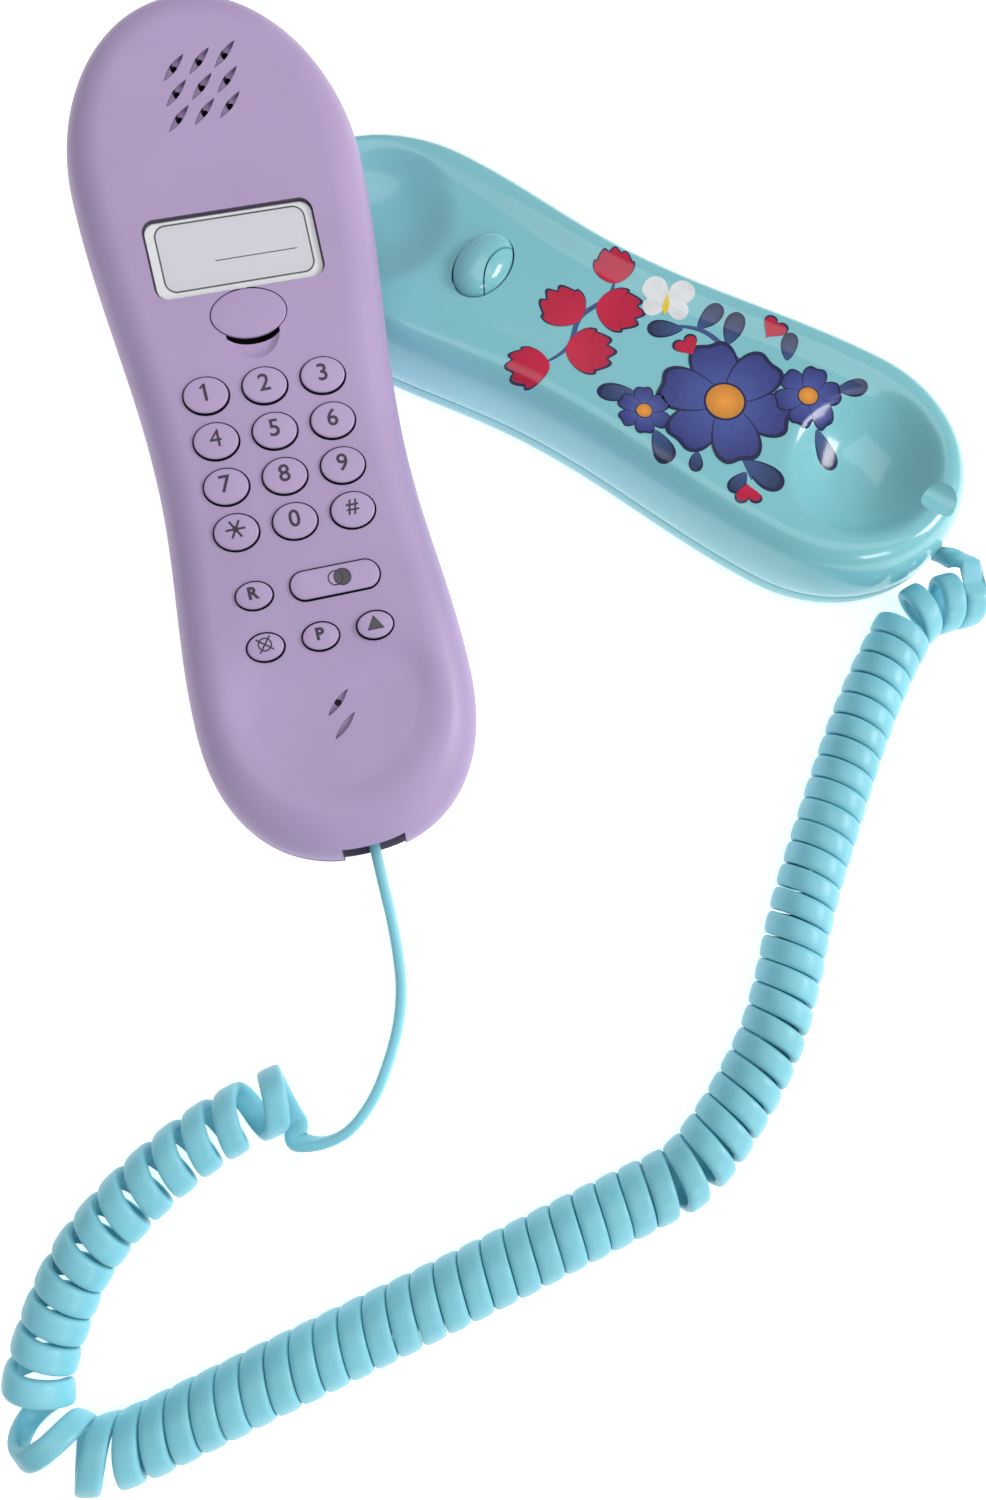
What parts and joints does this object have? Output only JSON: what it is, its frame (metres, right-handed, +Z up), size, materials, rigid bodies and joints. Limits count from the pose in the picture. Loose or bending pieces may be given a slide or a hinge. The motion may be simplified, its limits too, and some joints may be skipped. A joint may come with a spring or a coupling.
{
  "type": "corded telephone",
  "caption": "Slim corded telephone: lilac keypad handset leaning on an aqua cradle that has a spring hook, joined to it by a curly cord.",
  "frame": {"origin": "centre of the cradle's flat underside, on the surface it stands on", "axes": "+X along the cradle to the end with the sockets, +Y to its far long side, +Z up"},
  "size_m": [0.2389, 0.2993, 0.063],
  "materials": {
    "cradle_gloss": "glossy aqua blue injection-moulded plastic",
    "handset_satin": "satin lilac injection-moulded plastic",
    "key_plastic": "satin lilac keys with printed dark grey legends",
    "cord_vinyl": "smooth aqua blue vinyl cord jacket",
    "label_paper": "white printed card",
    "label_window": "clear flexible cover with a thin printed frame",
    "clear_plug": "clear moulded plug",
    "black_plastic": "black moulded plastic",
    "circuit_board": "green circuit board",
    "brass": "brass disc",
    "weight_steel": "grey iron ballast",
    "grey_rubber": "soft grey rubber",
    "screw_steel": "zinc plated steel",
    "spring_steel": "steel wire",
    "keypad_rubber": "silicone rubber keypad",
    "capsule_plastic": "black capsule",
    "foam_rubber": "black rubber ring",
    "capsule_metal": "bare aluminium can"
  },
  "bodies": {
    "base": {"cradle_top_shell": "cradle_gloss", "cradle_bottom_shell": "cradle_gloss", "hanger_tab": "cradle_gloss", "hook_spring": "spring_steel", "hook_switch": "black_plastic", "base_pcb": "circuit_board", "ringer": "brass", "base_cord_jack": "black_plastic", "line_jack": "black_plastic", "base_weight": "weight_steel", "rubber_feet": "grey_rubber", "base_screws": "screw_steel", "base_plug": "clear_plug", "cord_base_lead": "cord_vinyl", "cord_coil": "cord_vinyl", "cord_handset_lead": "cord_vinyl"},
    "handset": {"handset_plug": "clear_plug", "handset_front_shell": "handset_satin", "handset_back_shell": "handset_satin", "handset_pcb": "circuit_board", "keypad_mat": "keypad_rubber", "receiver_capsule": "capsule_plastic", "receiver_gasket": "foam_rubber", "microphone_capsule": "capsule_metal", "microphone_boot": "foam_rubber", "label_card": "label_paper", "label_cover": "label_window", "hanger_catch": "handset_satin", "handset_weight": "weight_steel", "handset_jack": "black_plastic", "handset_screws": "screw_steel"},
    "hook": {"hook_plunger": "cradle_gloss"},
    "key_1_cap": {"key_1": "key_plastic"},
    "key_2_cap": {"key_2": "key_plastic"},
    "key_3_cap": {"key_3": "key_plastic"},
    "key_4_cap": {"key_4": "key_plastic"},
    "key_5_cap": {"key_5": "key_plastic"},
    "key_6_cap": {"key_6": "key_plastic"},
    "key_7_cap": {"key_7": "key_plastic"},
    "key_8_cap": {"key_8": "key_plastic"},
    "key_9_cap": {"key_9": "key_plastic"},
    "key_star_cap": {"key_star": "key_plastic"},
    "key_0_cap": {"key_0": "key_plastic"},
    "key_hash_cap": {"key_hash": "key_plastic"},
    "key_recall_cap": {"key_recall": "key_plastic"},
    "key_redial_cap": {"key_redial": "key_plastic"},
    "key_mute_cap": {"key_mute": "key_plastic"},
    "key_pause_cap": {"key_pause": "key_plastic"},
    "key_volume_cap": {"key_volume": "key_plastic"}
  },
  "joints": [
    {"name": "handset_lift", "type": "slide", "parent": "base", "child": "handset", "axis": [0, 0, 1], "range_m": [0, 0.06]},
    {"name": "hook_press", "type": "slide", "parent": "base", "child": "hook", "axis": [0, 0, -1], "range_m": [0, 0.003], "stiffness_N_per_m": 150, "deforming": ["hook_spring"]},
    {"name": "key_1_press", "type": "slide", "parent": "handset", "child": "key_1_cap", "axis": [-0.2047, 0.1138, -0.9722], "range_m": [0, 0.0012], "stiffness_N_per_m": 200},
    {"name": "key_2_press", "type": "slide", "parent": "handset", "child": "key_2_cap", "axis": [-0.2047, 0.1138, -0.9722], "range_m": [0, 0.0012], "stiffness_N_per_m": 200},
    {"name": "key_3_press", "type": "slide", "parent": "handset", "child": "key_3_cap", "axis": [-0.2047, 0.1138, -0.9722], "range_m": [0, 0.0012], "stiffness_N_per_m": 200},
    {"name": "key_4_press", "type": "slide", "parent": "handset", "child": "key_4_cap", "axis": [-0.2047, 0.1138, -0.9722], "range_m": [0, 0.0012], "stiffness_N_per_m": 200},
    {"name": "key_5_press", "type": "slide", "parent": "handset", "child": "key_5_cap", "axis": [-0.2047, 0.1138, -0.9722], "range_m": [0, 0.0012], "stiffness_N_per_m": 200},
    {"name": "key_6_press", "type": "slide", "parent": "handset", "child": "key_6_cap", "axis": [-0.2047, 0.1138, -0.9722], "range_m": [0, 0.0012], "stiffness_N_per_m": 200},
    {"name": "key_7_press", "type": "slide", "parent": "handset", "child": "key_7_cap", "axis": [-0.2047, 0.1138, -0.9722], "range_m": [0, 0.0012], "stiffness_N_per_m": 200},
    {"name": "key_8_press", "type": "slide", "parent": "handset", "child": "key_8_cap", "axis": [-0.2047, 0.1138, -0.9722], "range_m": [0, 0.0012], "stiffness_N_per_m": 200},
    {"name": "key_9_press", "type": "slide", "parent": "handset", "child": "key_9_cap", "axis": [-0.2047, 0.1138, -0.9722], "range_m": [0, 0.0012], "stiffness_N_per_m": 200},
    {"name": "key_star_press", "type": "slide", "parent": "handset", "child": "key_star_cap", "axis": [-0.2047, 0.1138, -0.9722], "range_m": [0, 0.0012], "stiffness_N_per_m": 200},
    {"name": "key_0_press", "type": "slide", "parent": "handset", "child": "key_0_cap", "axis": [-0.2047, 0.1138, -0.9722], "range_m": [0, 0.0012], "stiffness_N_per_m": 200},
    {"name": "key_hash_press", "type": "slide", "parent": "handset", "child": "key_hash_cap", "axis": [-0.2047, 0.1138, -0.9722], "range_m": [0, 0.0012], "stiffness_N_per_m": 200},
    {"name": "key_recall_press", "type": "slide", "parent": "handset", "child": "key_recall_cap", "axis": [-0.2047, 0.1138, -0.9722], "range_m": [0, 0.0012], "stiffness_N_per_m": 200},
    {"name": "key_redial_press", "type": "slide", "parent": "handset", "child": "key_redial_cap", "axis": [-0.2047, 0.1138, -0.9722], "range_m": [0, 0.0012], "stiffness_N_per_m": 200},
    {"name": "key_mute_press", "type": "slide", "parent": "handset", "child": "key_mute_cap", "axis": [-0.2047, 0.1138, -0.9722], "range_m": [0, 0.0012], "stiffness_N_per_m": 200},
    {"name": "key_pause_press", "type": "slide", "parent": "handset", "child": "key_pause_cap", "axis": [-0.2047, 0.1138, -0.9722], "range_m": [0, 0.0012], "stiffness_N_per_m": 200},
    {"name": "key_volume_press", "type": "slide", "parent": "handset", "child": "key_volume_cap", "axis": [-0.2047, 0.1138, -0.9722], "range_m": [0, 0.0012], "stiffness_N_per_m": 200}
  ]
}
